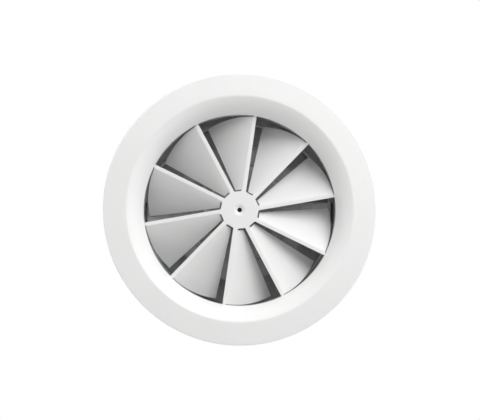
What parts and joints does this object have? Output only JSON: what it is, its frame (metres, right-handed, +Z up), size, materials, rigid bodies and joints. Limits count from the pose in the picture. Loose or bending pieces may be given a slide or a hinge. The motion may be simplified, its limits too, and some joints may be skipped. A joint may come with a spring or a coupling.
{
  "type": "ceiling air diffuser",
  "caption": "Round ceiling swirl diffuser: flared white face ring, radial pressed blades, round duct neck and a screw-driven throttle disc above the blades.",
  "frame": {"origin": "centre of the face, level with the lowest circle of the face ring", "axes": "+Z up the neck into the duct, the face looks down -Z, +X and +Y across the face; the bridge over the blades lies along X"},
  "size_m": [0.35, 0.35, 0.135],
  "materials": {
    "white_powder_coat": "satin white powder coat on sheet metal",
    "galvanised_steel": "galvanised sheet steel, faint spangle",
    "zinc_plated_steel": "bright zinc plate, turned",
    "rivets": "plain aluminium rivet",
    "seal_rubber": "black EPDM rubber",
    "gasket_foam": "closed-cell foam strip, grey",
    "bush_nylon": "natural nylon",
    "nut_brass": "turned brass"
  },
  "bodies": {
    "housing": {"face_ring": "white_powder_coat", "ceiling_gasket": "gasket_foam", "swirl_core": "white_powder_coat", "neck_collar": "galvanised_steel", "lip_seal": "seal_rubber", "bridge_bar": "galvanised_steel", "spindle_bush": "bush_nylon", "guide_rod_1": "zinc_plated_steel", "guide_rod_2": "zinc_plated_steel", "seat_ring": "galvanised_steel", "flange_rivet_1": "rivets", "flange_rivet_2": "rivets", "flange_rivet_3": "rivets", "flange_rivet_4": "rivets", "flange_rivet_5": "rivets", "bridge_rivet_1": "rivets", "bridge_rivet_2": "rivets", "bridge_rivet_3": "rivets", "bridge_rivet_4": "rivets", "seat_rivet_1": "rivets", "seat_rivet_2": "rivets", "seat_rivet_3": "rivets", "seat_rivet_4": "rivets"},
    "spindle": {"adjusting_spindle": "zinc_plated_steel", "spindle_circlip": "zinc_plated_steel", "thrust_washer": "zinc_plated_steel"},
    "throttle": {"throttle_disc": "galvanised_steel", "disc_nut": "nut_brass", "guide_bush_1": "bush_nylon", "guide_bush_2": "bush_nylon", "disc_rivet_1": "rivets", "disc_rivet_2": "rivets", "disc_rivet_3": "rivets"}
  },
  "joints": [
    {"name": "spindle_turn", "type": "hinge", "parent": "housing", "child": "spindle", "pos_m": [0, 0, 0.065], "axis": [0, 0, -1], "range_deg": [0, 3600]},
    {"name": "disc_lift", "type": "slide", "parent": "housing", "child": "throttle", "axis": [0, 0, 1], "range_m": [0, 0.04]}
  ],
  "couplings": [
    {"joint": "spindle_turn", "follows": "disc_lift", "rad_per_m": 1570.8}
  ]
}
